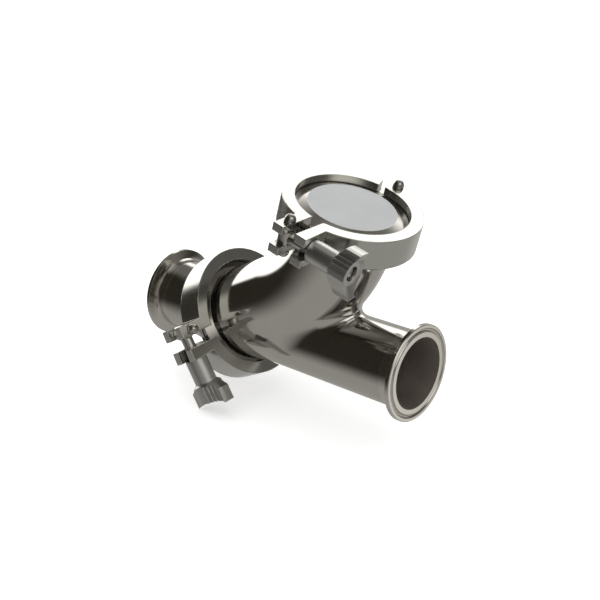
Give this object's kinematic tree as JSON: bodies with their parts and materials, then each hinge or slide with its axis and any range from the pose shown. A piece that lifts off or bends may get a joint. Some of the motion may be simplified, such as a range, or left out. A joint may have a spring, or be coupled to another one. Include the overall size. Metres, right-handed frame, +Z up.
{
  "type": "y strainer",
  "caption": "Hygienic stainless Y strainer: swept barrel with angled run tube, clamped inlet adapter, clamped end cap and an internal screen basket.",
  "frame": {"origin": "centre of the inlet ferrule's mouth, on the run's axis", "axes": "+X along the run from the inlet to the outlet, +Z up; the barrel and the cap lie in the XZ plane and the clamps' wing nuts are on the -Y side"},
  "size_m": [0.2178, 0.1158, 0.1655],
  "materials": {
    "polished_steel": "mirror polished stainless steel",
    "cap_steel": "fine turned stainless steel",
    "cast_steel": "satin tumbled cast stainless steel",
    "nut_steel": "satin cast stainless steel",
    "pin_steel": "polished stainless steel",
    "bolt_steel": "turned stainless steel",
    "insert_bronze": "plain bronze",
    "screen_steel": "mill finish stainless steel",
    "mesh_steel": "woven stainless wire",
    "gasket_rubber": "black EPDM"
  },
  "bodies": {
    "body": {"y_body": "polished_steel", "outlet_ferrule": "polished_steel", "body_inlet_ferrule": "polished_steel", "body_cap_ferrule": "polished_steel", "inlet_ferrule": "polished_steel", "inlet_adapter_tube": "polished_steel", "inlet_adapter_flange": "polished_steel", "inlet_gasket": "gasket_rubber", "cap_gasket": "gasket_rubber", "end_cap": "cap_steel", "screen_ring": "screen_steel", "screen_tube": "screen_steel", "screen_mesh": "mesh_steel", "screen_end_disc": "screen_steel", "cap_clamp_fixed_half": "cast_steel", "cap_clamp_hinge_pin": "pin_steel", "cap_clamp_bolt_pin": "pin_steel", "inlet_clamp_fixed_half": "cast_steel", "inlet_clamp_hinge_pin": "pin_steel", "inlet_clamp_bolt_pin": "pin_steel"},
    "cap_clamp_swing_half": {"cap_clamp_swing_half": "cast_steel"},
    "cap_clamp_t_bolt": {"cap_clamp_t_bolt": "bolt_steel"},
    "cap_clamp_nut_insert": {"cap_clamp_nut_insert": "insert_bronze"},
    "cap_clamp_wing_nut": {"cap_clamp_wing_nut": "nut_steel"},
    "inlet_clamp_swing_half": {"inlet_clamp_swing_half": "cast_steel"},
    "inlet_clamp_t_bolt": {"inlet_clamp_t_bolt": "bolt_steel"},
    "inlet_clamp_nut_insert": {"inlet_clamp_nut_insert": "insert_bronze"},
    "inlet_clamp_wing_nut": {"inlet_clamp_wing_nut": "nut_steel"}
  },
  "joints": [
    {"name": "cap_clamp_swing_half_hinge", "type": "hinge", "parent": "body", "child": "cap_clamp_swing_half", "pos_m": [0.16315, 0.0464, 0.09163], "axis": [0.2756, 0, 0.9613], "range_deg": [0, 4.5], "stiffness_Nm_per_rad": 10},
    {"name": "cap_clamp_t_bolt_swing", "type": "hinge", "parent": "body", "child": "cap_clamp_t_bolt", "pos_m": [0.15758, -0.054, 0.09323], "axis": [-0.2756, 0, -0.9613], "range_deg": [0, 90.01]},
    {"name": "cap_clamp_nut_travel", "type": "slide", "parent": "cap_clamp_t_bolt", "child": "cap_clamp_nut_insert", "axis": [0.9603, 0.0436, -0.2754], "range_m": [0, 0.02401], "stiffness_N_per_m": 600},
    {"name": "cap_clamp_wing_nut_spin", "type": "hinge", "parent": "cap_clamp_nut_insert", "child": "cap_clamp_wing_nut", "pos_m": [0.15758, -0.054, 0.09323], "axis": [0.9603, 0.0436, -0.2754], "range_deg": [0, 6912]},
    {"name": "inlet_clamp_swing_half_hinge", "type": "hinge", "parent": "body", "child": "inlet_clamp_swing_half", "pos_m": [0.06379, 0.0464, 0.00022], "axis": [0.887, 0, 0.4617], "range_deg": [0, 4.5], "stiffness_Nm_per_rad": 10},
    {"name": "inlet_clamp_t_bolt_swing", "type": "hinge", "parent": "body", "child": "inlet_clamp_t_bolt", "pos_m": [0.06233, -0.05412, 0.00304], "axis": [-0.887, 0, -0.4617], "range_deg": [0, 90.01]},
    {"name": "inlet_clamp_nut_travel", "type": "slide", "parent": "inlet_clamp_t_bolt", "child": "inlet_clamp_nut_insert", "axis": [0.4606, 0.0698, -0.8849], "range_m": [0, 0.02401], "stiffness_N_per_m": 600},
    {"name": "inlet_clamp_wing_nut_spin", "type": "hinge", "parent": "inlet_clamp_nut_insert", "child": "inlet_clamp_wing_nut", "pos_m": [0.06233, -0.05412, 0.00304], "axis": [0.4606, 0.0698, -0.8849], "range_deg": [0, 6912]}
  ],
  "couplings": [
    {"joint": "cap_clamp_nut_travel", "follows": "cap_clamp_wing_nut_spin", "m_per_rad": 0.00019894},
    {"joint": "cap_clamp_t_bolt_swing", "follows": "cap_clamp_wing_nut_spin", "ratio": 0.013021},
    {"joint": "cap_clamp_swing_half_hinge", "follows": "cap_clamp_wing_nut_spin", "ratio": 0.00065104},
    {"joint": "inlet_clamp_nut_travel", "follows": "inlet_clamp_wing_nut_spin", "m_per_rad": 0.00019894},
    {"joint": "inlet_clamp_t_bolt_swing", "follows": "inlet_clamp_wing_nut_spin", "ratio": 0.013021},
    {"joint": "inlet_clamp_swing_half_hinge", "follows": "inlet_clamp_wing_nut_spin", "ratio": 0.00065104}
  ]
}
